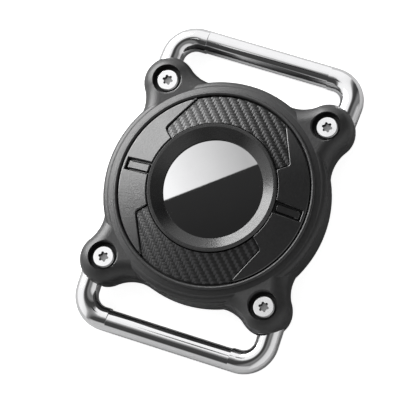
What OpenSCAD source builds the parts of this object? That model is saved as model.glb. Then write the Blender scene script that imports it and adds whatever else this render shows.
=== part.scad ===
// Strap-mounted holder for a round tracker tag.
// A two-part moulded case grips the tag behind a raised bezel. Two bent steel
// rod loops, one at each end, take a collar strap. Their legs sit in sockets
// that the two halves of the case form, and the four case screws lock them in.
// Origin: centre of the flat back. +X across the case, +Y along the strap,
// +Z out of the face.

/* [Case] */
// Width of the body's shoulder, outside the rim
shoulder_w = 2.9; // [2.6:0.1:4]
// Height of the line where the two shells part, and of the loop legs
split_z = 4.8; // [4.6:0.1:5]
// Fall of the land from the rim to the shoulder
land_fall = 0.4; // [0.2:0.1:0.8]
// Rounding of the body's front edge
shoulder_round = 1.6; // [0.8:0.1:2]
// Rounding of the body's back edge
back_round = 2.2; // [1.6:0.1:3.5]
// Thickness of the side wall
case_wall = 2.4; // [1.6:0.1:3]
// Thickness of the back
back_t = 2.2; // [1.6:0.1:2.6]
// Thickness of the front under the face plate
roof_t = 1.9; // [1.4:0.1:2.4]
// How far the rear shell's outline is drawn in at the parting line
seam_step = 0.2; // [0.1:0.05:0.4]

/* [Ears] */
// How far each screw lies inside the body's radius, across the case
screw_in_x = 7; // [6.5:0.1:7.5]
// How far each screw lies inside the body's radius, along the case
screw_in_y = 4.5; // [4:0.1:5]
// Radius of each ear about its screw
ear_r = 6.5; // [6.2:0.1:7]
// Rounding of an ear's front edge
ear_round = 4.2; // [3:0.1:4.6]
// Rounding of an ear's back edge
ear_back_round = 3; // [2:0.1:4]
// Height of an ear's back face above the case's back
ear_back_z = 0.6; // [0.3:0.1:1]
// Radius of the hollow between an ear and the body
valley_r = 9.5; // [7:0.5:11]
// How far that hollow cuts past the point where it would just touch
valley_lap = 0.02; // [0.01:0.01:0.04]

/* [Face] */
// Width of the recess that holds the face plate, from the bezel to the rim
recess_w = 8.05; // [7.4:0.05:8.5]
// Width of the raised rim round the face plate
rim_w = 1.1; // [0.8:0.1:1.6]
// Height of the rim's crest above the land outside it
rim_h = 0.5; // [0.3:0.1:0.8]
// Height of the rim's crest above the face plate's seat
rim_rise = 1.4; // [1.2:0.1:1.8]
// How far the face plate's seat, at its outer edge, lies below the tag's face
seat_drop = 1.6; // [1.5:0.1:2]
// Thickness of the face plate
plate_t = 1.4; // [1.2:0.1:1.6]
// Rise of the face plate from its outer edge to the bezel
face_rise = 2.5; // [2.2:0.1:2.7]
// Gap round the face plate
plate_gap = 0.2; // [0.1:0.05:0.3]
// Thickness of each carbon inset
inset_t = 0.5; // [0.3:0.1:0.7]
// How far an inset lies below the face plate's surface
inset_drop = 0.15; // [0.05:0.05:0.3]
// Gap round an inset
inset_gap = 0.15; // [0.1:0.05:0.25]
// Half-angle of an inset at the bezel, in degrees
inset_wide_angle = 58; // [50:1:64]
// Half-angle of an inset at the rim, in degrees
inset_narrow_angle = 28; // [22:1:36]
// Distance from the bezel to the inner corner of an inset's end
inset_inner_step = 1.95; // [1.2:0.05:3]
// Distance from the rim to the outer corner of an inset's end
inset_outer_step = 2.2; // [1.2:0.1:3]
// Rounding of the corners at an inset's ends
inset_corner_r = 0.7; // [0.4:0.1:1]
// Land between the end of each slot and the face plate's edge
slot_land = 0.7; // [0.6:0.1:2]
// Width of each slot
slot_w = 2.95; // [2:0.05:3.5]
// Depth of each slot below the face plate
slot_deep = 1; // [0.5:0.1:1.1]

/* [Bezel] */
// How far the bezel's lip laps over the tag's cover
window_lap = 0.1; // [0.05:0.05:0.5]
// Height of the lip's edge above the tag's face
window_lip = 0.7; // [0.6:0.05:1]
// Width of the bezel, from the window to its outside
bezel_w = 3.7; // [3.4:0.05:4]
// How far the bezel's crest lies inside its outside
crest_in = 0.6; // [0.45:0.05:0.9]
// Height of the crest above the window's edge
bezel_rise = 1.8; // [1.7:0.1:2.3]
// How far the flange reaches past the bore for the tag
flange_lap = 1.9; // [1.5:0.1:2.3]
// Thickness of the flange
flange_t = 0.9; // [0.7:0.1:1.2]

/* [Loops] */
// Diameter of the steel rod
rod_d = 6; // [5.4:0.1:6.2]
// How far each leg of a loop lies outside its screw
leg_out = 2.6; // [2.4:0.1:2.7]
// Distance from the screws to the strap bar
bar_out = 13.9; // [13:0.1:15]
// Bend radius of the rod's centre line
bend_r = 6; // [5:0.5:7]
// Distance from each bend to the strap seat relieved into the strap bar
relief_end = 1.6; // [0.5:0.1:4]
// Depth of that relief, which keeps the rod's own curve
relief_depth = 0.35; // [0.2:0.05:0.6]
// Tilt of the relief up from facing the case, in degrees
relief_tilt = 40; // [0:5:60]
// Length of straight leg beyond the screw, before its domed end
leg_tail = 1.2; // [1:0.1:1.4]
// Angle by which a loop hangs below level as it lies, in degrees
droop = 7; // [5:0.5:7]
// Angle through which a loop lifts from where it lies, in degrees
lift = 9; // [6:0.5:9]
// Clearance round a leg in its socket
leg_gap = 0.1; // [0.05:0.05:0.15]

/* [Screws] */
// Diameter of a screw's thread
thread_d = 3; // [2.9:0.1:3.1]
// Length of a screw below its head
screw_l = 6.5; // [6:0.1:6.8]
// Diameter of a screw's head
head_d = 5.7; // [5.4:0.1:6]
// Height of a screw's head
head_h = 1.5; // [1.3:0.1:1.7]
// Rounding of the head's edge
head_round = 0.4; // [0.2:0.1:0.6]
// Diameter across the drive's lobes
drive_d = 2.7; // [2.4:0.1:2.8]
// Depth of the drive
drive_depth = 0.9; // [0.6:0.1:1.1]
// Diameter of the pocket for the head
pocket_d = 7.4; // [7:0.1:7.6]
// Rounding of the pocket's mouth
pocket_round = 0.4; // [0.2:0.1:0.6]
// Depth of the pocket below the shoulder, to the face that the head presses on
pocket_depth = 3; // [2.6:0.1:3.1]
// Clearance round a screw's thread in the front shell
screw_gap = 0.2; // [0.1:0.05:0.3]
// Clearance round a part that is pressed in
press_gap = 0.03; // [0.01:0.01:0.05]
// Diameter of a threaded insert
insert_d = 4; // [3.8:0.1:4.2]
// Length of a threaded insert
insert_l = 3; // [2.5:0.1:3]
// How far an insert lies below the parting line
insert_drop = 0.2; // [0.1:0.05:0.3]
// Wall of the post round each insert
post_wall = 0.5; // [0.4:0.05:0.6]
// Clearance between a post and the notch in a leg
notch_gap = 0.6; // [0.5:0.05:0.7]

/* [Tag] */
// Diameter of the tag
tag_d = 31.9; // [31.5:0.1:32]
// Thickness of the tag
tag_t = 8; // [7.8:0.1:8]
// Height of the tag's back above the case's back
tag_z = 4.6; // [4.4:0.1:4.7]
// Width of the tag's rim round its steel cover
cover_in = 3.1; // [3:0.05:3.2]
// Thickness of the tag's steel cover
cover_t = 0.6; // [0.4:0.1:0.8]
// Radius of the spherical back of the tag
dome_r = 94; // [80:1:120]
// Wall of the tag's housing
tag_wall = 1.1; // [0.9:0.1:1.3]
// Gap between the tag and the case round it
tag_gap = 0.35; // [0.2:0.05:0.5]
// Diameter of the coin cell
cell_d = 20; // [20:0.5:20]
// Thickness of the coin cell
cell_t = 3.2; // [3:0.1:3.2]
// Number of spring contacts that touch the coin cell
contact_count = 3; // [2:1:4]
// Width of each contact
contact_w = 1.2; // [0.8:0.1:1.4]
// Wire winding's wall round the magnet
coil_wall = 0.9; // [0.6:0.1:1.1]
// Gap round the cushion behind the tag
cushion_in = 2.3; // [1:0.1:4]
// Radius of the hole in the cushion
cushion_hole_r = 5; // [3:0.5:7]

/* [Seals] */
// Wall round the tag, between the two shells
ring_wall = 2.6; // [2.4:0.1:3]
// Width of the seal between the shells
seal_w = 1.2; // [1:0.1:1.3]
// Depth of its groove in the rear shell
groove_depth = 1; // [0.8:0.1:1.2]
// Width of the soft ring between the bezel and the tag
lip_seal_w = 0.8; // [0.5:0.1:0.9]
// Thickness of that ring
lip_seal_t = 0.5; // [0.4:0.05:0.6]

/* [Ribs] */
// Number of stiffening ribs in each shell
rib_count = 12; // [4:4:16]
// Thickness of a rib
rib_t = 1; // [0.8:0.1:1.4]

/* [Hidden] */
$fn = 96;
over = 1;
corner_steps = 8;

// Heights, from the tag's face
tag_top_z = tag_z + tag_t;
window_z = tag_top_z + window_lip;
crest_z = window_z + bezel_rise;
seat_z = tag_top_z - seat_drop;
plate_z = seat_z + plate_t;
rim_z = seat_z + rim_rise;
land_z = rim_z - rim_h;
shoulder_z = land_z - land_fall;
screw_seat_z = shoulder_z - pocket_depth;

// Radii across the face, outward from the tag that the case is built round
tag_r = tag_d / 2;
bore_r = tag_r + tag_gap;
cover_r = tag_r - cover_in;
window_r = cover_r - window_lap;
bezel_r = window_r + bezel_w;
crest_r = bezel_r - crest_in;
flange_r = bore_r + flange_lap;
recess_r = bezel_r + recess_w;
rim_r = recess_r + rim_w;
case_r = rim_r + shoulder_w;
screw_x = case_r - screw_in_x;
screw_y = case_r - screw_in_y;
rod_r = rod_d / 2;
leg_x = screw_x + leg_out;
bar_y = screw_y + bar_out;
relief_half = leg_x - bend_r - relief_end;
inset_inner_r = bezel_r + inset_inner_step;
inset_outer_r = recess_r - inset_outer_step;
plate_r = recess_r - plate_gap;
slot_end_r = plate_r - slot_land;
plate_hole_r = bezel_r + plate_gap;
flange_z = seat_top(flange_r) - flange_t;
flange_cut_r = flange_r + plate_gap;
ring_r = bore_r + ring_wall;
hollow_r = case_r - case_wall;
board_r = tag_r - 2 * tag_wall - tag_gap;
tray_r = cell_d / 2 + tag_gap + tag_wall;
cushion_r = bore_r - cushion_in;
insert_r = insert_d / 2;
post_r = insert_r + post_wall;
notch_r = post_r + notch_gap;
swing = lift / 2;
head_top_z = screw_seat_z + head_h;
loop_l = round(100 * (bar_y - screw_y) / cos(droop)) / 100;
seal_mid_r = bore_r + ring_wall / 2;
lip_seal_r = cover_r + lip_seal_t;

// Centres of the two hollows beside an ear, from the body's and the ear's radii
ear_dist = norm([screw_x, screw_y]);
ear_angle = atan2(screw_y, screw_x);
to_valley = case_r + valley_r;
ear_to_valley = ear_r + valley_r;
valley_reach = pow(to_valley, 2) + pow(ear_dist, 2) - pow(ear_to_valley, 2);
valley_turn = acos(valley_reach / (2 * to_valley * ear_dist));
valleys = [for (at = [ear_angle - valley_turn, ear_angle + valley_turn]) to_valley * [cos(at), sin(at)]];

// Height of the face plate's surface at a radius, and of the seat below it
function face_z(r) = plate_z + face_rise * (plate_r - r) / (plate_r - plate_hole_r);
function seat_top(r) = face_z(r) - plate_t;

// Points of the arc that rounds the corner at p, where the edges leave toward a and b
function corner_arc(p, a, b, r) =
    let (to_a = (a - p) / norm(a - p), to_b = (b - p) / norm(b - p))
    let (half = acos(to_a * to_b) / 2, turn = 180 - 2 * half)
    let (centre = p + r / sin(half) * (to_a + to_b) / norm(to_a + to_b))
    let (first = p + r / tan(half) * to_a - centre, last = p + r / tan(half) * to_b - centre)
    let (shares = [for (i = [0:corner_steps]) i / corner_steps])
    [for (share = shares) centre + (sin(turn - turn * share) * first + sin(turn * share) * last) / sin(turn)];

// Repeats its children at the four ears, mirrored so that each ear has its own hand
module at_ears() {
    for (sx = [0, 1], sy = [0, 1])
        mirror([sx, 0, 0])
            mirror([0, sy, 0])
                children();
}

// Half-section of a disc from z0 to z1 with its lower and upper edges rounded
module puck_section(r, z0, z1, low_round, high_round) {
    difference() {
        translate([0, z0])
            square([r, z1 - z0]);
        if (low_round > 0)
            difference() {
                translate([r - low_round, z0 - over])
                    square([low_round + over, low_round + over]);
                translate([r - low_round, z0 + low_round])
                    circle(low_round);
            }
        if (high_round > 0)
            difference() {
                translate([r - high_round, z1 - high_round])
                    square([high_round + over, high_round + over]);
                translate([r - high_round, z1 - high_round])
                    circle(high_round);
            }
    }
}

// Half-section of the air beside an ear: a column that flares with the ear's rounding
module valley_section(r, z0, z1, low_round, high_round) {
    translate([0, z0 - over])
        square([r, z1 - z0 + 2 * over]);
    if (low_round > 0)
        difference() {
            translate([0, z0 - over])
                square([r + low_round, low_round + over]);
            translate([r + low_round, z0 + low_round])
                circle(low_round);
        }
    if (high_round > 0)
        difference() {
            translate([0, z1 - high_round])
                square([r + high_round, high_round + over]);
            translate([r + high_round, z1 - high_round])
                circle(high_round);
        }
}

// One ear with the webs that blend it into the body
module ear(z0, z1, low_round, high_round, inset) {
    translate([screw_x, screw_y, 0])
        rotate_extrude()
            puck_section(ear_r - inset, z0, z1, low_round, high_round);
    difference() {
        translate([0, 0, z0])
            linear_extrude(z1 - z0)
                polygon([[0, 0], valleys[0], [screw_x, screw_y], valleys[1]]);
        for (centre = valleys)
            translate([centre.x, centre.y, 0])
                rotate_extrude()
                    valley_section(valley_r + inset + valley_lap, z0, z1, low_round, high_round);
    }
}

// Half-section of a leg, with its domed end below the origin
module leg_section(r, tail, reach, flare) {
    tail_r = r + tail * tan(flare);
    polygon([[0, -tail], [tail_r, -tail], [r, 0], [r + reach * tan(flare), reach], [0, reach]]);
    intersection() {
        translate([0, -tail])
            circle(tail_r);
        translate([0, -2 * tail_r])
            square(2 * tail_r);
    }
}

// Half-section of a screw's pocket, from the head's seat up, with a rounded mouth
module pocket_section() {
    r = pocket_d / 2;
    mouth = shoulder_z - screw_seat_z;
    square([r, mouth + over]);
    difference() {
        translate([0, mouth - pocket_round])
            square([r + pocket_round, pocket_round + over]);
        translate([r + pocket_round, mouth - pocket_round])
            circle(pocket_round);
    }
}

// Room that a loop's leg sweeps in the ear at +X +Y, round the post that the screw goes through
module leg_sweep() {
    difference() {
        translate([leg_x, screw_y, split_z])
            rotate([swing - droop - 90, 0, 0])
                rotate_extrude()
                    leg_section(rod_r + leg_gap, leg_tail, ear_r + rod_r, swing);
        translate([screw_x, screw_y, -over])
            cylinder(h = crest_z, r = post_r);
    }
}

// Hollow between the case's side wall and the wall round the tag, with its ribs left standing
module ribbed_hollow(z0, outer_z, inner_z) {
    difference() {
        rotate_extrude()
            polygon([[ring_r, z0], [hollow_r, z0], [hollow_r, outer_z], [ring_r, inner_z]]);
        for (i = [0:rib_count - 1])
            rotate(360 / rib_count * i)
                translate([ring_r - over, -rib_t / 2, 0])
                    cube([hollow_r - ring_r + 2 * over, rib_t, crest_z]);
    }
}

// Front half of the case: land, rim, ears, screw pockets and the seat for the face plate
module front_shell() {
    color("#2b2b2d")
        difference() {
            union() {
                rotate_extrude()
                    puck_section(case_r, split_z, shoulder_z, 0, shoulder_round);
                rotate_extrude()
                    polygon([[0, split_z], [case_r - shoulder_round, split_z],
                        [case_r - shoulder_round, shoulder_z], [rim_r, land_z], [0, land_z]]);
                rotate_extrude()
                    translate([recess_r, land_z - rim_w])
                        square([rim_w, rim_z - land_z + rim_w / 2]);
                rotate_extrude()
                    translate([recess_r + rim_w / 2, rim_z - rim_w / 2])
                        circle(rim_w / 2);
                translate([0, 0, split_z])
                    cylinder(h = crest_z - split_z, r = recess_r - rim_w);
                at_ears()
                    ear(split_z, shoulder_z, 0, ear_round, 0);
            }
            rotate_extrude()
                polygon([[0, split_z - over], [bore_r, split_z - over], [bore_r, flange_z],
                    [flange_cut_r, flange_z], [flange_cut_r, seat_top(flange_cut_r)],
                    [recess_r, seat_top(recess_r)], [recess_r, crest_z + over], [0, crest_z + over]]);
            ribbed_hollow(split_z - over, seat_z - roof_t, seat_top(ring_r) - roof_t);
            for (turn = [0, 180])
                rotate(turn)
                    intersection() {
                        face_layer(over, plate_t + slot_deep + over);
                        translate([bore_r, -slot_w / 2, split_z])
                            cube([slot_end_r - bore_r, slot_w, crest_z]);
                    }
            at_ears() {
                leg_sweep();
                translate([screw_x, screw_y, screw_seat_z])
                    rotate_extrude()
                        pocket_section();
                translate([screw_x, screw_y, split_z - over])
                    cylinder(h = crest_z, d = thread_d + 2 * screw_gap);
            }
        }
}

// Rear half of the case: flat back, tag well, seal groove, insert holes and leg sockets
module rear_shell() {
    color("#262628")
        difference() {
            union() {
                rotate_extrude()
                    puck_section(case_r - seam_step, 0, split_z + over, back_round, 0);
                at_ears()
                    ear(ear_back_z, split_z + over, ear_back_round, 0, seam_step);
            }
            translate([-2 * case_r, -2 * case_r, split_z])
                cube([4 * case_r, 4 * case_r, case_r]);
            translate([0, 0, back_t])
                cylinder(h = split_z, r = bore_r);
            translate([0, 0, back_t])
                ribbed_hollow(0, split_z, split_z);
            translate([0, 0, split_z - groove_depth])
                difference() {
                    cylinder(h = split_z, r = seal_mid_r + seal_w / 2);
                    translate([0, 0, -over])
                        cylinder(h = split_z + 2 * over, r = seal_mid_r - seal_w / 2);
                }
            at_ears() {
                leg_sweep();
                translate([screw_x, screw_y, split_z - insert_drop - insert_l])
                    cylinder(h = split_z, d = insert_d);
            }
        }
}

// Conical layer that follows the face plate, from a height above its surface down through a thickness
module face_layer(above, t) {
    r0 = plate_hole_r - plate_gap / 2;
    r1 = plate_r + plate_gap / 2;
    rotate_extrude()
        polygon([[r0, face_z(r0) + above], [r1, face_z(r1) + above],
            [r1, face_z(r1) + above - t], [r0, face_z(r0) + above - t]]);
}

// Outline of an inset, grown by a gap on every side
module inset_outline(grow) {
    far = 2 * case_r;
    wide = inset_wide_angle + atan(grow / inset_inner_r);
    narrow = inset_narrow_angle + atan(grow / inset_outer_r);
    inner = (inset_inner_r + grow) * [sin(wide), cos(wide)];
    outer = (inset_outer_r + grow) * [sin(narrow), cos(narrow)];
    rim = far * [sin(narrow), cos(narrow)];
    right = concat(corner_arc(inner, [0, 0], outer, inset_corner_r + grow),
        corner_arc(outer, inner, rim, inset_corner_r - grow), [rim]);
    left = [for (i = [len(right) - 1:-1:0]) [-right[i].x, right[i].y]];
    difference() {
        polygon(concat([[0, 0]], right, left));
        circle(plate_hole_r - grow);
    }
}

// Ring-shaped conical trim plate with a shallow seat for each inset and a slot at each side
module face_plate() {
    edge = 2 * inset_drop;
    color("#333335")
        difference() {
            rotate_extrude()
                polygon([[plate_hole_r, seat_top(plate_hole_r)],
                    [plate_r, seat_z],
                    [plate_r, plate_z - edge],
                    [plate_r - edge, face_z(plate_r - edge)],
                    [plate_hole_r, face_z(plate_hole_r)]]);
            for (turn = [0, 180])
                rotate(turn) {
                    intersection() {
                        face_layer(over, inset_drop + inset_t + over);
                        linear_extrude(2 * crest_z)
                            inset_outline(inset_gap);
                    }
                    translate([plate_hole_r - over, -slot_w / 2, 0])
                        cube([slot_end_r - plate_hole_r + over, slot_w, crest_z + over]);
                }
        }
}

// Thin sheet set into the face plate above the middle
module carbon_inset() {
    intersection() {
        face_layer(-inset_drop, inset_t);
        linear_extrude(2 * crest_z)
            intersection() {
                inset_outline(0);
                circle(plate_r - inset_drop);
            }
    }
}

module carbon_inset_top() {
    color("#3d3f42")
        carbon_inset();
}

module carbon_inset_bottom() {
    color("#3d3f42")
        rotate(180)
            carbon_inset();
}

// Raised ring that frames the tag's face, held by its flange under the face plate
module bezel_ring() {
    crest_w = (bezel_r - crest_r) / 2;
    under = plate_t + plate_gap / 2;
    color("#38393b")
        rotate_extrude()
            difference() {
                polygon([[window_r, tag_top_z + lip_seal_t / 2],
                    [window_r, window_z],
                    [crest_r - crest_w, crest_z],
                    [crest_r + crest_w, crest_z],
                    [bezel_r, crest_z - crest_w],
                    [bezel_r, face_z(bezel_r) - under],
                    [flange_r, face_z(flange_r) - under],
                    [flange_r, flange_z],
                    [bore_r, flange_z],
                    [lip_seal_r + lip_seal_w + lip_seal_t, tag_top_z + lip_seal_t / 2]]);
                translate([lip_seal_r, tag_top_z - over])
                    square([lip_seal_w, lip_seal_t + over]);
            }
}

// Soft ring between the bezel's lip and the tag
module bezel_seal() {
    color("#1c1c1c")
        rotate_extrude()
            translate([lip_seal_r, tag_top_z])
                square([lip_seal_w, lip_seal_t]);
}

// Seal between the two shells, in its groove round the tag
module case_seal() {
    color("#1c1c1c")
        translate([0, 0, split_z - groove_depth])
            difference() {
                cylinder(h = groove_depth, r = seal_mid_r + seal_w / 2 - press_gap);
                translate([0, 0, -over])
                    cylinder(h = groove_depth + 2 * over, r = seal_mid_r - seal_w / 2 + press_gap);
            }
}

// Half-section of the tag's outside, drawn in by a wall
module tag_section(wall) {
    intersection() {
        puck_section(tag_r - wall, wall, tag_t - wall, tag_t / 4, tag_r - cover_r - wall);
        translate([0, dome_r + wall])
            circle(dome_r);
    }
}

// Spherical-backed housing of the tag, open at the front for its steel cover
module tag_housing() {
    color("#f4f4f2")
        translate([0, 0, tag_z])
            difference() {
                rotate_extrude()
                    tag_section(0);
                rotate_extrude()
                    tag_section(tag_wall);
                translate([0, 0, tag_t - cover_t])
                    cylinder(h = tag_t, r = cover_r);
                translate([0, 0, tag_t / 2])
                    cylinder(h = tag_t, r = cover_r - tag_wall);
            }
}

// Ring-shaped circuit board round the speaker's magnet
module tag_circuit_board() {
    color("#1f5c3a")
        translate([0, 0, tag_z + tag_t / 3])
            difference() {
                cylinder(h = cover_t, r = board_r);
                translate([0, 0, -over])
                    cylinder(h = cover_t + 2 * over, r = cell_d / 4 + tag_gap);
            }
}

module tag_magnet() {
    color("#b9bbbd")
        translate([0, 0, tag_z + tag_wall + tag_gap])
            cylinder(h = tag_t / 5, r = cell_d / 4);
}

// Wire winding that drives the housing's wall, round the magnet
module tag_voice_coil() {
    color("#b5713a")
        translate([0, 0, tag_z + tag_wall + tag_gap])
            difference() {
                cylinder(h = tag_t / 8, r = cell_d / 4 + tag_gap / 2 + coil_wall);
                translate([0, 0, -over])
                    cylinder(h = tag_t, r = cell_d / 4 + tag_gap / 2);
            }
}

module tag_cell_tray() {
    color("#2a2a2a")
        translate([0, 0, tag_z + tag_t / 3 + cover_t])
            difference() {
                cylinder(h = cell_t, r = tray_r);
                translate([0, 0, tag_gap])
                    cylinder(h = cell_t, r = cell_d / 2 + tag_gap);
            }
}

module tag_coin_cell() {
    color("#c9cbcd")
        translate([0, 0, tag_z + tag_t / 3 + cover_t + tag_gap])
            cylinder(h = cell_t, d = cell_d);
}

// Spring tabs between the cell's rim and the tray's wall
module tag_cell_contacts() {
    color("#c9b26a")
        translate([0, 0, tag_z + tag_t / 3 + cover_t + tag_gap])
            for (i = [0:contact_count - 1])
                rotate(360 / contact_count * i)
                    translate([cell_d / 2 + press_gap, -contact_w / 2, 0])
                        cube([tag_gap - 2 * press_gap, contact_w, cell_t]);
}

module tag_steel_cover() {
    color("#dfe1e3")
        translate([0, 0, tag_z + tag_t - cover_t])
            cylinder(h = cover_t, r = cover_r - press_gap);
}

// Soft pad that holds the tag up against the bezel
module tag_cushion() {
    color("#3a3a3a")
        difference() {
            translate([0, 0, back_t])
                cylinder(h = tag_z, r = cushion_r);
            cylinder(h = 2 * tag_z, r = cushion_hole_r);
            translate([0, 0, tag_z + dome_r])
                sphere(dome_r, $fn = 4 * $fn);
        }
}

// Six-lobed drive, as a flat outline
module drive_outline() {
    lobe_r = drive_d / 8;
    circle(drive_d / 2 - lobe_r);
    for (i = [0:5])
        rotate(60 * i)
            translate([drive_d / 2 - lobe_r, 0])
                circle(lobe_r);
}

module case_screw() {
    difference() {
        union() {
            translate([0, 0, screw_seat_z])
                rotate_extrude()
                    puck_section(head_d / 2, 0, head_h, 0, head_round);
            translate([0, 0, screw_seat_z - screw_l])
                cylinder(h = screw_l + head_h / 2, d = thread_d - screw_gap / 2);
        }
        translate([0, 0, head_top_z - drive_depth])
            linear_extrude(drive_depth + over)
                drive_outline();
    }
}

module case_screws() {
    color("#d5d7d9")
        at_ears()
            translate([screw_x, screw_y, 0])
                case_screw();
}

module threaded_inserts() {
    color("#b08d3c")
        at_ears()
            translate([screw_x, screw_y, split_z - insert_drop - insert_l])
                difference() {
                    cylinder(h = insert_l, r = insert_r - press_gap);
                    translate([0, 0, -over])
                        cylinder(h = insert_l + 2 * over, d = thread_d);
                }
}

// One side of a strap loop, level, with the pivot at its origin
module loop_side() {
    translate([leg_x, 0, 0])
        rotate([-90, 0, 0])
            rotate_extrude()
                leg_section(rod_r, leg_tail, loop_l - bend_r, 0);
    translate([leg_x - bend_r, loop_l - bend_r, 0])
        rotate_extrude(angle = 90)
            translate([bend_r, 0])
                circle(rod_r);
}

// Crescent taken off the bar where the strap lies: what is outside the rod's own curve set back
module strap_relief() {
    difference() {
        translate([-relief_half, -rod_d, -rod_d])
            cube([2 * relief_half, rod_d + relief_depth, 2 * rod_d]);
        translate([-relief_half - over, relief_depth, 0])
            rotate([0, 90, 0])
                cylinder(h = 2 * relief_half + 2 * over, r = rod_r);
    }
}

// Steel rod loop, hanging at its lower stop
module loop() {
    translate([0, screw_y, split_z])
        rotate([-droop, 0, 0])
            difference() {
                union() {
                    translate([bend_r - leg_x, loop_l, 0])
                        rotate([0, 90, 0])
                            cylinder(h = 2 * (leg_x - bend_r), r = rod_r);
                    loop_side();
                    mirror([1, 0, 0])
                        loop_side();
                }
                for (side = [-1, 1])
                    translate([side * screw_x, 0, -rod_d])
                        cylinder(h = 2 * rod_d, r = notch_r);
                translate([0, loop_l, 0])
                    rotate([-relief_tilt, 0, 0])
                        strap_relief();
            }
}

module loop_top() {
    color("#d9dbdd")
        loop();
}

module loop_bottom() {
    color("#d9dbdd")
        mirror([0, 1, 0])
            loop();
}

front_shell();
rear_shell();
face_plate();
carbon_inset_top();
carbon_inset_bottom();
bezel_ring();
bezel_seal();
case_seal();
tag_cushion();
tag_housing();
tag_circuit_board();
tag_magnet();
tag_voice_coil();
tag_cell_tray();
tag_cell_contacts();
tag_coin_cell();
tag_steel_cover();
case_screws();
threaded_inserts();
loop_top();
loop_bottom();
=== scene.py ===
"""Looks of the strap-mounted tracker tag holder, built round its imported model."""
import math

import bmesh
import bpy
from mathutils import Matrix, Vector

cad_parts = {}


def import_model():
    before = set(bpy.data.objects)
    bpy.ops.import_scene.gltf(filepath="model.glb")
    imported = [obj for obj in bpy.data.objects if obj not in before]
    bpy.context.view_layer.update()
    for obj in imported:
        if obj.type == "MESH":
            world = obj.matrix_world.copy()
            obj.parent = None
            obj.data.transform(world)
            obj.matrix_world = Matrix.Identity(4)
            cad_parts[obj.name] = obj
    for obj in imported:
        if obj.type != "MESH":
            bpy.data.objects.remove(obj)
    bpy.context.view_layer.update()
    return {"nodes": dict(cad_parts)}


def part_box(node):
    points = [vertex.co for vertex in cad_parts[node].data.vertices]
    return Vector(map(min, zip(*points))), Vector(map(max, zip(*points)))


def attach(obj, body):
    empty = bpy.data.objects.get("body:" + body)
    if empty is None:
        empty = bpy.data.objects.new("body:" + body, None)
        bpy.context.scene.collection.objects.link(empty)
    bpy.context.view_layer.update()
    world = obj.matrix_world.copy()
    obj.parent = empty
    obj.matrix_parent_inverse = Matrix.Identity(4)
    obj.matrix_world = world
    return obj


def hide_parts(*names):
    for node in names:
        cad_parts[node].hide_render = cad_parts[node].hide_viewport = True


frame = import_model()
NODES = frame["nodes"]
MM = 0.001
WHITE = (1.0, 1.0, 1.0, 1.0)

# Camera: the photograph's viewing direction, with the object's middle near the picture's middle
VIEW_TARGET = Vector((-0.30, -4.41, 10.0)) * MM
VIEW_RIGHT = Vector((0.9251, 0.3320, -0.1792)).normalized()
VIEW_UP = Vector((-0.2839, 0.9273, 0.2466)).normalized()
VIEW_BACK = VIEW_RIGHT.cross(VIEW_UP).normalized()
VIEW_DISTANCE = 0.8
LENS = 278.0
CLIP_START = 0.05
CLIP_END = 20.0

# Stage: the floor's size, its glow to the camera, its colour to the eye and in metal, and the even fill
FLOOR_RADIUS = 0.45
FLOOR_SIDES = 128
FLOOR_GLOW = 0.87
FLOOR_COLOUR = (0.86, 0.86, 0.86, 1.0)
FLOOR_IN_METAL = (0.68, 0.68, 0.68, 1.0)
WORLD_FILL = 0.26

# Studio as polished metal sees it: brightness by how far a direction leans toward the big window
WINDOW_LEAN = (-0.9, 0.44, 0.0)
STUDIO = ((-1.0, 0.85), (-0.72, 0.80), (-0.55, 0.20), (-0.3, 0.25), (-0.1, 0.05), (0.13, 0.07),
          (0.24, 0.4), (0.29, 1.0), (0.45, 1.15), (1.0, 1.15))

# The same studio's pale wall beyond the lower loop: where it starts, where it is full, and its brightness
WALL_LEAN = (0.0, -1.0, 0.0)
WALL_START = 0.74
WALL_FULL = 0.84
WALL_LEVEL = 0.62

# Key light: a tall window at the left
KEY_AZIMUTH = math.radians(153)
KEY_ELEVATION = math.radians(26)
KEY_DISTANCE = 0.55
KEY_WIDTH = 0.56
KEY_HEIGHT = 0.42
KEY_RADIANCE = 8.0
KEY_TARGET = Vector((0, 0, 10 * MM))

# Small screen over the tag: its edge gives the dividing line in the steel cover.
# Beyond the line it fades along the line, and short of the line it is nearly dark.
LINE_ALONG = Vector((0.777, 0.629, 0.0)).normalized()
LINE_ACROSS = Vector((-LINE_ALONG.y, LINE_ALONG.x, 0.0))
LINE_OFFSET = 2.8 * MM
LINE_SOFT = 0.15 * MM
SCREEN_HEIGHT = 110 * MM
SCREEN_R = 16 * MM
SCREEN_SIDES = 64
SCREEN_BRIGHT = (1.15, 0.55)
SCREEN_BRIGHT_END = 12 * MM
SCREEN_DARK = (0.022, 0.032)
SCREEN_DARK_START = -13 * MM

# Bands of a noise's values that a colour or a roughness follows
MOST = (0.3, 0.7)
MIDDLE = (0.35, 0.65)
UPPER = (0.3, 0.75)
UPPER_MIDDLE = (0.35, 0.75)


def added(name, data):
    """New object in the scene."""
    made = bpy.data.objects.new(name, data)
    bpy.context.scene.collection.objects.link(made)
    return made


def camera():
    """Camera at the photograph's viewing angle."""
    data = bpy.data.cameras.new("camera")
    data.lens = LENS
    data.clip_start = CLIP_START
    data.clip_end = CLIP_END
    cam = added("camera", data)
    up = VIEW_BACK.cross(VIEW_RIGHT)
    axes = Matrix((VIEW_RIGHT, up, VIEW_BACK)).transposed().to_4x4()
    cam.matrix_world = Matrix.Translation(VIEW_TARGET + VIEW_BACK * VIEW_DISTANCE) @ axes
    bpy.context.scene.camera = cam


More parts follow.
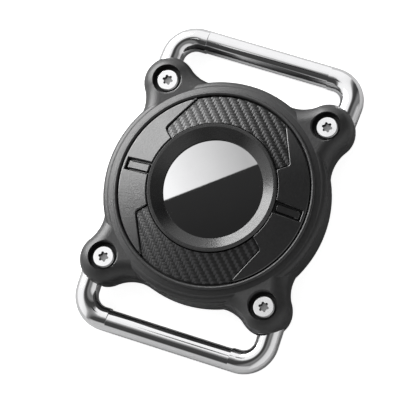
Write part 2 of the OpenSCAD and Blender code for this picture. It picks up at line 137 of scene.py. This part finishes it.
class Tree:
    """Short calls for the nodes of a material or world. A value is a number, a colour or a node's output."""

    def __init__(self, owner, output="ShaderNodeOutputMaterial", place="Object"):
        owner.use_nodes = True
        self.owner = owner
        self.nodes = owner.node_tree.nodes
        self.links = owner.node_tree.links
        self.nodes.clear()
        self.out = self.nodes.new(output)
        self.place = self.node("ShaderNodeTexCoord").outputs[place]

    def put(self, socket, value):
        if isinstance(value, bpy.types.NodeSocket):
            self.links.new(value, socket)
        elif value is not None:
            socket.default_value = value

    def node(self, kind, inputs=None, **settings):
        made = self.nodes.new(kind)
        for key, value in settings.items():
            setattr(made, key, value)
        for key, value in (inputs or {}).items():
            self.put(made.inputs[key], value)
        return made

    def math(self, operation, a, b=None):
        return self.node("ShaderNodeMath", {0: a, 1: b}, operation=operation).outputs[0]

    def split(self, vector):
        return self.node("ShaderNodeSeparateXYZ", {"Vector": vector}).outputs

    def dot(self, vector, direction):
        made = self.node("ShaderNodeVectorMath", {0: vector, 1: direction}, operation="DOT_PRODUCT")
        return made.outputs["Value"]

    def noise(self, scale, detail=2.0, roughness=0.55):
        made = self.node("ShaderNodeTexNoise", {
            "Vector": self.place, "Scale": scale, "Detail": detail, "Roughness": roughness})
        return made.outputs["Fac"]

    def spread(self, value, low, high, to_low=0.0, to_high=1.0):
        """The value's band from low to high, drawn to another band and clamped there."""
        made = self.node("ShaderNodeMapRange", {
            "Value": value, "From Min": low, "From Max": high,
            "To Min": to_low, "To Max": to_high})
        return made.outputs["Result"]

    def mix(self, factor, a, b):
        made = self.node("ShaderNodeMix", {"Factor": factor, "A": a, "B": b}, data_type="RGBA")
        return made.outputs["Result"]

    def bump(self, height, distance, strength=1.0):
        made = self.node("ShaderNodeBump", {"Height": height, "Distance": distance, "Strength": strength})
        return made.outputs["Normal"]

    def emit(self, strength):
        return self.node("ShaderNodeEmission", {"Strength": strength}).outputs[0]

    def background(self, colour, strength=1.0):
        return self.node("ShaderNodeBackground", {"Color": colour, "Strength": strength}).outputs[0]

    def either(self, factor, a, b):
        return self.node("ShaderNodeMixShader", {0: factor, 1: a, 2: b}).outputs[0]

    def close(self, shader):
        """Leads a shader to the output, and gives the material or world."""
        self.links.new(shader, self.out.inputs["Surface"])
        return self.owner

    def surface(self, **inputs):
        named = {key.replace("_", " "): value for key, value in inputs.items()}
        return self.close(self.node("ShaderNodeBsdfPrincipled", named).outputs[0])


def material(name):
    return Tree(bpy.data.materials.new(name))


def grey(value, tint=0.0):
    return (value, value, value * (1 + tint), 1.0)


# Moulded plastic: its noises in cells per metre, the grain's height, and its changes of shade and sheen
MOULD_FINE = 3600
MOULD_COARSE = 1300
MOULD_CLOUD = 55
MOULD_BUMP = 0.032 * MM
COARSE_SHARE = 0.9
DARK_SHARE = 0.86
LIGHT_SHARE = 1.16
MOULD_TINT = 0.03
GLOSSIER = 0.04
DULLER = 0.05
GLINT = 0.04


def moulded_plastic(name, shade, rough, grain=1.0, shine=0.7):
    """Black plastic with the fine satin grain of an eroded mould and a slightly uneven sheen."""
    t = material(name)
    fine = t.noise(MOULD_FINE, roughness=0.6)
    coarse = t.noise(MOULD_COARSE, roughness=0.5)
    cloud = t.noise(MOULD_CLOUD, detail=3.0)
    dark = grey(shade * DARK_SHARE, MOULD_TINT)
    light = grey(shade * LIGHT_SHARE, MOULD_TINT)
    colour = t.mix(t.spread(coarse, *MIDDLE), dark, light)
    roughness = t.math("ADD", t.spread(cloud, *MOST, rough - GLOSSIER, rough + DULLER),
                       t.spread(fine, *MOST, -GLINT, GLINT))
    height = t.math("ADD", fine, t.math("MULTIPLY", coarse, COARSE_SHARE))
    return t.surface(Base_Color=colour, Roughness=roughness, Normal=t.bump(height, MOULD_BUMP * grain),
                     Specular_IOR_Level=shine)


# Steels: their common tint, and for each one its noises in cells per metre, shades, roughness and unevenness
STEEL_TINT = 0.01
ROD_HAZE = 260
ROD_FINE = 2400
ROD_SHADES = (0.776, 0.80)
ROD_ROUGH = (0.05, 0.10)
ROD_BUMP = 0.0012 * MM
COVER_HAZE = 180
COVER_FINE = 1500
COVER_SHADES = (0.80, 0.83)
COVER_ROUGH = (0.01, 0.022)
COVER_BUMP = 0.0003 * MM


def steel(t, factor, shades):
    """Two close shades of steel, mixed."""
    low, high = shades
    return t.mix(factor, grey(low, STEEL_TINT), grey(high, STEEL_TINT))


def polished_steel(name):
    """Bright rod: a mirror with fine unevenness and handling haze."""
    t = material(name)
    haze = t.noise(ROD_HAZE, detail=3.0)
    return t.surface(Base_Color=steel(t, t.spread(haze, *MOST), ROD_SHADES), Metallic=1.0,
                     Roughness=t.spread(haze, *UPPER, *ROD_ROUGH),
                     Normal=t.bump(t.noise(ROD_FINE), ROD_BUMP, strength=0.6))


def mirror_steel(name):
    """Polished cover of the tag, with very fine wiping marks."""
    t = material(name)
    haze = t.noise(COVER_HAZE, detail=3.0)
    return t.surface(Base_Color=steel(t, t.spread(haze, *MOST), COVER_SHADES), Metallic=1.0,
                     Roughness=t.spread(haze, *UPPER_MIDDLE, *COVER_ROUGH),
                     Normal=t.bump(t.noise(COVER_FINE), COVER_BUMP, strength=0.5))


# Case screws: where they are, their turning rings, the reach and depth of a drive, and their finish, with
# painted shade inside the drives
SCREW_X = 21.5 * MM
SCREW_Y = 24.0 * MM
SCREW_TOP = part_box("case_screws")[1].z
RING_PITCH = 0.16 * MM
DRIVE_REACH = 1.4175 * MM
DRIVE_DIP = 0.04 * MM
STEEP = 0.5
SCREW_TONE = 900
SCREW_HAZE = 500
SCREW_FINE = 2600
SCREW_SHADES = (0.90, 0.94)
SCREW_ROUGH = (0.05, 0.09)
SCREW_BUMP = 0.001 * MM
DRIVE_FLOOR_PAINTED_SHADE = 0.30
DRIVE_WALL_PAINTED_SHADE = 0.02
DRIVE_DULL = 0.25


def screw_steel(name):
    """Bright screw heads with fine turning rings. Their drives are dull, and painted shade darkens them
    inside: grey on the floor, nearly black on the steep walls.
    """
    t = material(name)
    place = t.split(t.place)
    x = t.math("SUBTRACT", t.math("ABSOLUTE", place["X"]), SCREW_X)
    y = t.math("SUBTRACT", t.math("ABSOLUTE", place["Y"]), SCREW_Y)
    out = t.math("SQRT", t.math("ADD", t.math("MULTIPLY", x, x), t.math("MULTIPLY", y, y)))
    rings = t.math("SINE", t.math("MULTIPLY", out, math.tau / RING_PITCH))
    sunk = t.math("MULTIPLY", t.math("LESS_THAN", out, DRIVE_REACH),
                  t.math("LESS_THAN", place["Z"], SCREW_TOP - DRIVE_DIP))
    up = t.split(t.node("ShaderNodeNewGeometry").outputs["True Normal"])["Z"]
    wall = t.math("MULTIPLY", sunk, t.math("LESS_THAN", up, STEEP))
    bright = steel(t, t.noise(SCREW_TONE), SCREW_SHADES)
    # Painted shade in the drives: grey on their floors, nearly black on their steep walls
    drive_painted_shade = t.mix(wall, grey(DRIVE_FLOOR_PAINTED_SHADE, STEEL_TINT), grey(DRIVE_WALL_PAINTED_SHADE))
    haze = t.spread(t.noise(SCREW_HAZE), *MOST, *SCREW_ROUGH)
    roughness = t.math("ADD", t.math("MULTIPLY", sunk, DRIVE_DULL), haze)
    height = t.math("ADD", rings, t.noise(SCREW_FINE))
    return t.surface(Base_Color=t.mix(sunk, bright, drive_painted_shade), Metallic=1.0, Roughness=roughness,
                     Normal=t.bump(height, SCREW_BUMP, strength=0.5))


# Inner pieces: the height of their mottling and the reach of their roughness
PLAIN_BUMP = 0.01 * MM
PLAIN_VARY = 0.05


def plain_piece(name, colour, rough, metal=0.0, speck=0.08, grain=900):
    """Finish of the inner pieces: a base colour with mottling and a fine uneven surface."""
    t = material(name)
    mottle = t.noise(grain, detail=3.0)
    dark = tuple(c * (1 - speck) for c in colour) + (1.0,)
    light = tuple(min(1.0, c * (1 + speck)) for c in colour) + (1.0,)
    roughness = t.spread(t.noise(grain / 3), *MOST, rough - PLAIN_VARY, rough + PLAIN_VARY)
    return t.surface(Base_Color=t.mix(t.spread(mottle, *MOST), dark, light), Metallic=metal,
                     Roughness=roughness, Normal=t.bump(mottle, PLAIN_BUMP, strength=0.6))


# Carbon weave: two-over-two twill with its tows along the case's two axes; the warp is painted lighter as
# sheen and the weft darker, and each float darkens toward its edges and ends as painted shade
TOW = 0.665 * MM
TOWS_IN_REPEAT = 4
TOW_ROUND = 0.6
TOW_BUMP = 0.06 * MM
WEAVE_TINT = 0.04
WARP_PAINTED_SHEEN = 0.05
WEFT_PAINTED_SHADE = 0.004
GROOVE_PAINTED_SHADE = 0.0016
GROOVE_PAINTED_SHADE_BAND = (0.15, 0.8)
WEAVE_ROUGH = (0.28, 0.36)
WEFT_DULL = 0.22
STRAND = 4200
STRAND_SHARE = 0.15


def carbon_weave(name):
    """Twill of flat tows: each float is a pillow, two cells long, and the two directions shine apart, by
    their anisotropic gloss and by painted sheen, the warp painted lighter and the weft darker.
    """
    t = material(name)

    def hump(share):
        """A float's height over one of its two directions: 0 at both ends and 1 in the middle."""
        arch = t.math("MULTIPLY", t.math("MULTIPLY", share, t.math("SUBTRACT", 1.0, share)), 4.0)
        return t.math("POWER", arch, TOW_ROUND)

    place = t.split(t.place)
    u = t.math("DIVIDE", place["X"], TOW)
    v = t.math("DIVIDE", place["Y"], TOW)
    cell = t.math("ADD", t.math("FLOOR", u), t.math("FLOOR", v))
    phase = t.math("FLOORED_MODULO", cell, TOWS_IN_REPEAT)
    warp = t.math("LESS_THAN", phase, TOWS_IN_REPEAT / 2)
    weft = t.math("SUBTRACT", 1.0, warp)
    in_u = t.math("FRACT", u)
    in_v = t.math("FRACT", v)
    across = t.math("ADD", t.math("MULTIPLY", in_u, warp), t.math("MULTIPLY", in_v, weft))
    along = t.math("ADD", t.math("MULTIPLY", in_v, warp), t.math("MULTIPLY", in_u, weft))
    second = t.math("FLOORED_MODULO", phase, 2.0)
    pillow = t.math("MULTIPLY", hump(across), hump(t.math("MULTIPLY", t.math("ADD", along, second), 0.5)))
    strand = t.noise(STRAND)
    height = t.math("ADD", pillow, t.math("MULTIPLY", strand, STRAND_SHARE))
    tangent = t.node("ShaderNodeCombineXYZ", {"X": warp, "Y": weft}).outputs[0]
    # Painted sheen: the warp is lighter and the weft darker, as the light falls on them
    tow_painted_sheen = t.mix(warp, grey(WEFT_PAINTED_SHADE, WEAVE_TINT), grey(WARP_PAINTED_SHEEN, WEAVE_TINT))
    # Painted shade: each float darkens toward its edges and ends, into the grooves between the tows
    colour = t.mix(t.spread(pillow, *GROOVE_PAINTED_SHADE_BAND), grey(GROOVE_PAINTED_SHADE), tow_painted_sheen)
    roughness = t.math("ADD", t.math("MULTIPLY", weft, WEFT_DULL), t.spread(strand, *MOST, *WEAVE_ROUGH))
    return t.surface(Base_Color=colour, Roughness=roughness, Normal=t.bump(height, TOW_BUMP),
                     Tangent=tangent, Anisotropic=0.8, Specular_IOR_Level=0.6)


# Inner pieces: their nodes, material, base colour, roughness and metalness
INNER = (
    (("bezel_seal", "case_seal"), "seal_black", (0.02, 0.02, 0.02), 0.6, 0.0),
    (("tag_circuit_board",), "board_green", (0.03, 0.12, 0.06), 0.35, 0.0),
    (("tag_magnet",), "magnet_plate", (0.6, 0.6, 0.61), 0.3, 1.0),
    (("tag_voice_coil",), "coil_enamel", (0.72, 0.36, 0.18), 0.25, 1.0),
    (("tag_cell_contacts",), "contact_gilt", (0.75, 0.6, 0.32), 0.28, 1.0),
    (("tag_cell_tray",), "tray_black", (0.03, 0.03, 0.03), 0.5, 0.0),
    (("tag_coin_cell",), "cell_nickel", (0.66, 0.66, 0.67), 0.28, 1.0),
    (("threaded_inserts",), "insert_brass_turned", (0.7, 0.5, 0.22), 0.3, 1.0),
)


def dress(nodes, look):
    """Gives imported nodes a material."""
    for name in nodes:
        slots = NODES[name].data.materials
        slots.clear()
        slots.append(look)


def materials(plate, weave):
    dress(["front_shell"], moulded_plastic("shell_grain", shade=0.015, rough=0.40))
    dress(["rear_shell"], moulded_plastic("rear_shell_grain", shade=0.014, rough=0.42))
    dress(["face_plate"], plate)
    dress(["bezel_ring"], moulded_plastic("bezel_satin", shade=0.009, rough=0.27, grain=0.5))
    dress(["carbon_inset_top", "carbon_inset_bottom"], weave)
    dress(["loop_top", "loop_bottom"], polished_steel("rod_polish"))
    dress(["case_screws"], screw_steel("screw_polish"))
    dress(["tag_steel_cover"], mirror_steel("cover_mirror"))
    dress(["tag_housing"], plain_piece("tag_white", (0.8, 0.8, 0.79), rough=0.2, speck=0.02))
    dress(["tag_cushion"], plain_piece("foam_grey", (0.05, 0.05, 0.05), rough=0.85, grain=2500))
    for nodes, name, colour, rough, metal in INNER:
        dress(nodes, plain_piece(name, colour, rough, metal))


# Face plate: its own shape, what is sunk into it, and the sheets in its recesses
SEGMENTS = 120
PLATE_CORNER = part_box("face_plate")[1]
PLATE_R = PLATE_CORNER.x
PLATE_HOLE_R = 16.65 * MM
PLATE_TOP_Z = PLATE_CORNER.z
PLATE_RISE = 2.5 * MM
PLATE_EDGE_Z = PLATE_TOP_Z - PLATE_RISE
PLATE_T = 1.4 * MM
PLATE_SLOPE = PLATE_RISE / (PLATE_R - PLATE_HOLE_R)
RIM_ANGLE = math.radians(28.5)
CORNER_ANGLE = math.radians(56)
HUB_ANGLE = math.radians(58)
RIM_R = 24.4 * MM
CORNER_R = 20.1 * MM
CORNER_ROUND = 0.9 * MM
HUB_R = 15.5 * MM
RECESS_DEEP = 1.0 * MM
INSET_DROP = 0.50 * MM
INSET_GAP = 0.28 * MM
INSET_HUB_GAP = 0.1 * MM
INSET_RIM_GAP = 0.25 * MM
POCKET_W = 2.95 * MM
POCKET_START = 10 * MM
POCKET_R = 23.4 * MM
POCKET_DEEP = 1.25 * MM
PAD_DROP = 0.55 * MM
PAD_IN = 0.34 * MM
PAD_LAP = 0.05 * MM
EDGE_ROUND = 0.34 * MM
ROUND_STEPS = 2
SECOND_MATERIAL = 1

# Cuts: how far they overrun, how high they reach, and the steps of their arcs
OVERRUN = 1.0 * MM
CUT_TOP = 30 * MM
CORNER_STEPS = 6
ARC_STEPS = 24

# Clean-up: points that count as one, and the angles that count as flat, soft, sharp and lying on the cone
MERGE = 0.002 * MM
FLAT = math.radians(0.05)
SOFT = math.radians(35)
SHARP = math.radians(40)
ON_CONE = math.radians(4)


def plate_z(r):
    """Height of the plate's surface at a radius."""
    return PLATE_EDGE_Z + PLATE_SLOPE * (PLATE_R - r)


def solid(name, verts, faces):
    """Object of a closed mesh, with all its faces turned outward."""
    mesh = bpy.data.meshes.new(name)
    mesh.from_pydata(verts, [], faces)
    shape = bmesh.new()
    shape.from_mesh(mesh)
    bmesh.ops.recalc_face_normals(shape, faces=shape.faces)
    shape.to_mesh(mesh)
    shape.free()
    return added(name, mesh)


def revolved(name, profile):
    """Closed ring of revolution from a profile of (radius, height) points."""
    verts = []
    faces = []
    count = len(profile)
    for i in range(SEGMENTS):
        turn = math.tau * i / SEGMENTS
        verts += [(r * math.cos(turn), r * math.sin(turn), z) for r, z in profile]
        step = count if i < SEGMENTS - 1 else -i * count
        for k in range(count):
            a = i * count + k
            b = i * count + (k + 1) % count
            faces.append((a, b, b + step, a + step))
    return solid(name, verts, faces)


def layer(name, above, below, r0, r1):
    """Ring that follows the plate's cone, from a height over its surface to a depth under it."""
    return revolved(name, [(r0, plate_z(r0) - below), (r1, plate_z(r1) - below),
                           (r1, plate_z(r1) + above), (r0, plate_z(r0) + above)])


def prism(name, outline):
    """Upright prism over a flat outline, as high as any cut needs."""
    count = len(outline)
    verts = [(x, y, z) for z in (0.0, CUT_TOP) for x, y in outline]
    faces = [tuple(range(count)), tuple(range(count, 2 * count))]
    faces += [(k, (k + 1) % count, count + (k + 1) % count, count + k) for k in range(count)]
    return solid(name, verts, faces)


def drop(made):
    """Deletes an object and its mesh."""
    mesh = made.data
    bpy.data.objects.remove(made)
    bpy.data.meshes.remove(mesh)


def apply_modifiers(made):
    """Turns an object's modifiers into its mesh."""
    graph = bpy.context.evaluated_depsgraph_get()
    result = bpy.data.meshes.new_from_object(made.evaluated_get(graph))
    old = made.data
    made.modifiers.clear()
    made.data = result
    result.name = made.name
    bpy.data.meshes.remove(old)


def combine(base, other, operation):
    """Boolean of two closed meshes, kept in the first. The second one is dropped."""
    tool = base.modifiers.new("combine", "BOOLEAN")
    tool.operation = operation
    tool.solver = "EXACT"
    tool.object = other
    apply_modifiers(base)
    drop(other)


def polar(r, angle):
    """Point at a radius and an angle from +Y toward +X."""
    return Vector((r * math.sin(angle), r * math.cos(angle)))


def rounded_corner(before, corner, after, radius):
    """Points of the arc that rounds a corner."""
    to_before = (before - corner).normalized()
    to_after = (after - corner).normalized()
    half = to_before.angle(to_after) / 2
    centre = corner + (to_before + to_after).normalized() * radius / math.sin(half)
    first = corner + to_before * radius / math.tan(half) - centre
    last = corner + to_after * radius / math.tan(half) - centre
    turn = math.pi - 2 * half
    points = []
    for i in range(CORNER_STEPS + 1):
        swept = turn * i / CORNER_STEPS
        points.append(centre + (first * math.sin(turn - swept) + last * math.sin(swept)) / math.sin(turn))
    return points


def arc_between(r, angle):
    """Inner points of the arc from an angle on the right to the same angle on the left."""
    return [polar(r, angle * (1 - 2 * i / ARC_STEPS)) for i in range(1, ARC_STEPS)]


def inset_outline(shrink, turn):
    """Outline of a recess or, drawn in at both ends, of the sheet in it."""
    hub_angle = HUB_ANGLE - shrink / HUB_R
    rim_angle = RIM_ANGLE - shrink / RIM_R
    hub = polar(HUB_R, hub_angle)
    rim = polar(RIM_R, rim_angle)
    corner = polar(CORNER_R - shrink, CORNER_ANGLE - shrink / CORNER_R)
    right = [hub] + rounded_corner(hub, corner, rim, CORNER_ROUND - shrink) + [rim]
    left = [Vector((-p.x, p.y)) for p in reversed(right)]
    points = right + arc_between(RIM_R, rim_angle) + left + arc_between(HUB_R, -hub_angle)
    cos = math.cos(turn)
    sin = math.sin(turn)
    return [(p.x * cos - p.y * sin, p.x * sin + p.y * cos) for p in points]


def slot(hand, shrink):
    """Upright block over one of the pockets, drawn in on three sides."""
    half = POCKET_W / 2 - shrink
    near = hand * POCKET_START
    far = hand * (POCKET_R - shrink)
    return prism("slot", [(near, -half), (far, -half), (far, half), (near, half)])


def woven_sheet(node, turn, weave):
    """Woven sheet on the floor of one of the recesses."""
    sheet = layer(node + "_woven", -INSET_DROP, RECESS_DEEP,
                  PLATE_HOLE_R + INSET_HUB_GAP, PLATE_R - INSET_RIM_GAP)
    combine(sheet, prism("outline", inset_outline(INSET_GAP, turn)), "INTERSECT")
    clean(sheet)
    shade(sheet)
    sheet.data.materials.append(weave)
    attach(sheet, "case")
    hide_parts(node)


def cut_recess(plate, turn):
    """Recess for one of the woven sheets."""
    recess = layer("cutter", OVERRUN, RECESS_DEEP, PLATE_HOLE_R - OVERRUN, PLATE_R + OVERRUN)
    combine(recess, prism("outline", inset_outline(0.0, turn)), "INTERSECT")
    combine(plate, recess, "DIFFERENCE")


def cut_pocket(plate, hand):
    """Side pocket: a deep cut, then a floor that leaves a groove round itself."""
    pocket = layer("pocket", OVERRUN, POCKET_DEEP, PLATE_HOLE_R - OVERRUN, PLATE_R)
    combine(pocket, slot(hand, 0.0), "INTERSECT")
    combine(plate, pocket, "DIFFERENCE")
    pad = layer("pad", -PAD_DROP, PLATE_T - PAD_LAP, PLATE_HOLE_R + PAD_IN, PLATE_R)
    combine(pad, slot(hand, PAD_IN), "INTERSECT")
    combine(plate, pad, "UNION")


def face(plate_look, edge_look, weave):
    """Face plate with its two recesses and two side pockets, and the woven sheets in the recesses."""
    plate = revolved("face_plate_fine", [
        (PLATE_HOLE_R, PLATE_TOP_Z - PLATE_T),
        (PLATE_R, PLATE_EDGE_Z - PLATE_T),
        (PLATE_R, PLATE_EDGE_Z),
        (PLATE_HOLE_R, PLATE_TOP_Z)])
    for node, turn, hand in (("carbon_inset_top", 0.0, -1), ("carbon_inset_bottom", math.pi, 1)):
        cut_recess(plate, turn)
        woven_sheet(node, turn, weave)
        cut_pocket(plate, hand)
    plate.data.materials.append(plate_look)
    plate.data.materials.append(edge_look)
    clean(plate)
    mark_edges(plate)
    shade(plate, EDGE_ROUND)
    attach(plate, "case")
    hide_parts("face_plate")


def clean(made):
    """Merges stray points and flat neighbours."""
    shape = bmesh.new()
    shape.from_mesh(made.data)
    bmesh.ops.remove_doubles(shape, verts=shape.verts, dist=MERGE)
    bmesh.ops.dissolve_limit(shape, angle_limit=FLAT, verts=shape.verts, edges=shape.edges)
    shape.to_mesh(made.data)
    shape.free()


def mark_edges(plate):
    """Marks the sharp outer edges down to the pockets' floors, which are the ones to round."""
    shape = bmesh.new()
    shape.from_mesh(plate.data)
    weight = shape.edges.layers.float.new("bevel_weight_edge")
    for edge in shape.edges:
        in_face = all(v.co.z > plate_z(v.co.xy.length) - PAD_DROP - PAD_LAP for v in edge.verts)
        if in_face and edge.is_convex and edge.calc_face_angle(0.0) > SHARP:
            edge[weight] = 1.0
    shape.to_mesh(plate.data)
    shape.free()


def shade(made, width=0.0):
    """Shades smoothly across soft edges, and rounds the marked ones by a width in the second material."""
    made.data.shade_smooth()
    made.data.set_sharp_from_angle(angle=SOFT)
    if width:
        bevel = made.modifiers.new("round", "BEVEL")
        bevel.width = width
        bevel.segments = ROUND_STEPS
        bevel.limit_method = "WEIGHT"
        bevel.use_clamp_overlap = False
        bevel.harden_normals = True
        bevel.material = SECOND_MATERIAL
        apply_modifiers(made)
    shade_as_cone(made.data)


def shade_as_cone(mesh):
    """Gives the faces that lie along the plate's cone the cone's own normals, against streaks at the cuts."""
    normals = [Vector(corner.vector) for corner in mesh.corner_normals]
    for polygon in mesh.polygons:
        for corner in polygon.loop_indices:
            place = mesh.vertices[mesh.loops[corner].vertex_index].co
            out = Vector((place.x, place.y, 0.0)).normalized()
            cone = Vector((out.x * PLATE_SLOPE, out.y * PLATE_SLOPE, 1.0)).normalized()
            if polygon.normal.dot(cone) > math.cos(ON_CONE):
                normals[corner] = cone
    mesh.normals_split_custom_set(normals)


def floor():
    """Pale round floor. It glows a little to the camera only, so that it reads white and keeps the shadow."""
    mesh = bpy.data.meshes.new("floor")
    shape = bmesh.new()
    bmesh.ops.create_circle(shape, cap_ends=True, segments=FLOOR_SIDES, radius=FLOOR_RADIUS)
    shape.to_mesh(mesh)
    shape.free()
    t = material("floor_paper")
    path = t.node("ShaderNodeLightPath").outputs
    colour = t.mix(path["Is Glossy Ray"], FLOOR_COLOUR, FLOOR_IN_METAL)
    paper = t.node("ShaderNodeBsdfDiffuse", {"Color": colour}).outputs[0]
    glow = t.emit(t.math("MULTIPLY", path["Is Camera Ray"], FLOOR_GLOW))
    mesh.materials.append(t.close(t.node("ShaderNodeAddShader", {0: paper, 1: glow}).outputs[0]))
    added("floor", mesh)


def world():
    """White to the camera, an even fill for dull surfaces, and a bright-sided studio for polished ones."""
    t = Tree(bpy.data.worlds.new("studio"), "ShaderNodeOutputWorld", "Generated")
    window = t.node("ShaderNodeValToRGB", {"Fac": t.spread(t.dot(t.place, WINDOW_LEAN), -1.0, 1.0)})
    ramp = window.color_ramp
    while len(ramp.elements) < len(STUDIO):
        ramp.elements.new(0.5)
    for element, (lean, level) in zip(ramp.elements, STUDIO):
        element.position = (lean + 1) / 2
        element.color = grey(level)
    wall = t.spread(t.dot(t.place, WALL_LEAN), WALL_START, WALL_FULL, 0.0, WALL_LEVEL)
    brighter = t.node("ShaderNodeVectorMath", {0: window.outputs["Color"], 1: wall}, operation="MAXIMUM")
    path = t.node("ShaderNodeLightPath").outputs
    fill = t.background(WHITE, WORLD_FILL)
    studio = t.background(brighter.outputs[0])
    unseen = t.either(path["Is Glossy Ray"], fill, studio)
    bpy.context.scene.world = t.close(t.either(path["Is Camera Ray"], unseen, t.background(WHITE)))


def tag_screen():
    """Small screen, half dark and half bright, that only polished metal sees."""
    mesh = bpy.data.meshes.new("tag_screen")
    turns = [math.tau * i / SCREEN_SIDES for i in range(SCREEN_SIDES)]
    mesh.from_pydata([(SCREEN_R * math.cos(turn), SCREEN_R * math.sin(turn), 0.0) for turn in turns],
                     [], [tuple(range(SCREEN_SIDES))])
    t = material("screen_glow")
    line = t.dot(t.place, LINE_ACROSS)
    side = t.dot(t.place, LINE_ALONG)
    beyond = t.spread(line, LINE_OFFSET - LINE_SOFT, LINE_OFFSET + LINE_SOFT)
    bright = t.spread(side, -SCREEN_BRIGHT_END, SCREEN_BRIGHT_END, *SCREEN_BRIGHT)
    dark = t.spread(line, SCREEN_DARK_START, LINE_OFFSET, *SCREEN_DARK)
    level = t.math("ADD", t.math("MULTIPLY", beyond, bright),
                   t.math("MULTIPLY", t.math("SUBTRACT", 1.0, beyond), dark))
    mesh.materials.append(t.close(t.emit(level)))
    screen = added("tag_screen", mesh)
    mirrored_view = Vector((-VIEW_BACK.x, -VIEW_BACK.y, VIEW_BACK.z)) / VIEW_BACK.z
    screen.location = Vector((0, 0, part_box("tag_steel_cover")[1].z)) + mirrored_view * SCREEN_HEIGHT
    screen.visible_camera = False
    screen.visible_diffuse = False
    screen.visible_shadow = False


def key_light():
    """Tall soft window at the left, turned to the object."""
    data = bpy.data.lights.new("key", "AREA")
    data.shape = "RECTANGLE"
    data.size = KEY_WIDTH
    data.size_y = KEY_HEIGHT
    data.energy = KEY_RADIANCE * math.pi * KEY_WIDTH * KEY_HEIGHT
    flat = math.cos(KEY_ELEVATION)
    toward = Vector((flat * math.cos(KEY_AZIMUTH), flat * math.sin(KEY_AZIMUTH), math.sin(KEY_ELEVATION)))
    lamp = added("key", data)
    lamp.location = toward * KEY_DISTANCE
    lamp.rotation_mode = "QUATERNION"
    lamp.rotation_quaternion = (KEY_TARGET - toward * KEY_DISTANCE).to_track_quat("-Z", "Y")
    lamp.visible_camera = False


camera()
world()
floor()
plate_grain = moulded_plastic("plate_grain", shade=0.012, rough=0.38)
# Rounded edges of the plate: glossier and more reflective, and painted a lighter shade as highlight
plate_edge_painted_highlight = moulded_plastic("plate_edge_painted_highlight", shade=0.02, rough=0.16, grain=0.2, shine=1.0)
carbon_twill = carbon_weave("carbon_twill")
materials(plate_grain, carbon_twill)
face(plate_grain, plate_edge_painted_highlight, carbon_twill)
tag_screen()
key_light()

scene = bpy.context.scene
scene.view_settings.view_transform = "Standard"
